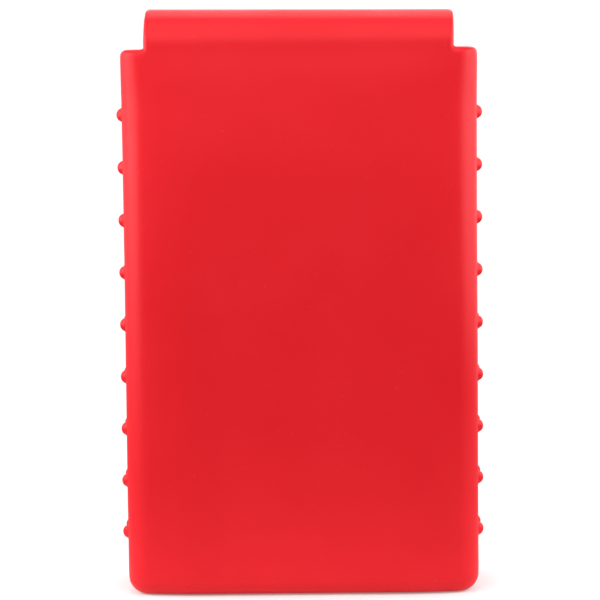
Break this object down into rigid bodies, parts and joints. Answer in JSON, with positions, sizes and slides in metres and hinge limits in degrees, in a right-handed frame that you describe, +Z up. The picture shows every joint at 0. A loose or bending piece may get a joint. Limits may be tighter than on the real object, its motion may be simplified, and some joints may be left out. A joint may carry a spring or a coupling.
{
  "type": "silicone pocket box sleeve",
  "caption": "Soft silicone sleeve for a flip-top pocket box: open-topped pocket, sprung fold-over flap with a curled tongue, thumb notch and side grip nubs.",
  "frame": {"origin": "centre of the pocket's footprint, on the flat underside of the base", "axes": "+Z up, out of the pocket's mouth; +Y out of the plain back wall that carries the flap; the flap's tongue comes down in front of the -Y wall; +X to the right of someone who faces the tongue"},
  "size_m": [0.061, 0.029, 0.0985],
  "materials": {
    "silicone": "satin, translucent red moulded silicone"
  },
  "bodies": {
    "sleeve": {"sleeve_shell": "silicone", "grip_nubs_left_front": "silicone", "grip_nubs_left_middle": "silicone", "grip_nubs_left_back": "silicone", "grip_nubs_right_front": "silicone", "grip_nubs_right_middle": "silicone", "grip_nubs_right_back": "silicone"},
    "rear_link_lower": {"rear_bend_lower": "silicone"},
    "rear_link_upper": {"rear_bend_upper": "silicone"},
    "flap": {"flap_top": "silicone"},
    "front_link_upper": {"front_bend_upper": "silicone"},
    "front_link_lower": {"front_bend_lower": "silicone"},
    "tongue": {"flap_tongue": "silicone"}
  },
  "joints": [
    {"name": "flap_hinge", "type": "hinge", "parent": "sleeve", "child": "rear_link_lower", "pos_m": [0, 0.01292, 0.09355], "axis": [-1, 0, 0], "range_deg": [0, 60], "stiffness_Nm_per_rad": 0.006},
    {"name": "rear_bend_middle_turn", "type": "hinge", "parent": "rear_link_lower", "child": "rear_link_upper", "pos_m": [0, 0.01117, 0.09657], "axis": [-1, 0, 0], "range_deg": [0, 60], "stiffness_Nm_per_rad": 0.006},
    {"name": "rear_bend_upper_turn", "type": "hinge", "parent": "rear_link_upper", "child": "flap", "pos_m": [0, 0.00815, 0.09832], "axis": [-1, 0, 0], "range_deg": [0, 60], "stiffness_Nm_per_rad": 0.006},
    {"name": "tongue_hinge", "type": "hinge", "parent": "flap", "child": "front_link_upper", "pos_m": [0, -0.01025, 0.09832], "axis": [-1, 0, 0], "range_deg": [0, 30], "stiffness_Nm_per_rad": 0.006},
    {"name": "front_bend_middle_turn", "type": "hinge", "parent": "front_link_upper", "child": "front_link_lower", "pos_m": [0, -0.01327, 0.09657], "axis": [-1, 0, 0], "range_deg": [0, 30], "stiffness_Nm_per_rad": 0.006},
    {"name": "front_bend_lower_turn", "type": "hinge", "parent": "front_link_lower", "child": "tongue", "pos_m": [0, -0.01502, 0.09355], "axis": [-1, 0, 0], "range_deg": [0, 30], "stiffness_Nm_per_rad": 0.006}
  ],
  "couplings": [
    {"joint": "rear_bend_middle_turn", "follows": "flap_hinge", "ratio": 1},
    {"joint": "rear_bend_upper_turn", "follows": "flap_hinge", "ratio": 1},
    {"joint": "front_bend_middle_turn", "follows": "tongue_hinge", "ratio": 1},
    {"joint": "front_bend_lower_turn", "follows": "tongue_hinge", "ratio": 1}
  ]
}
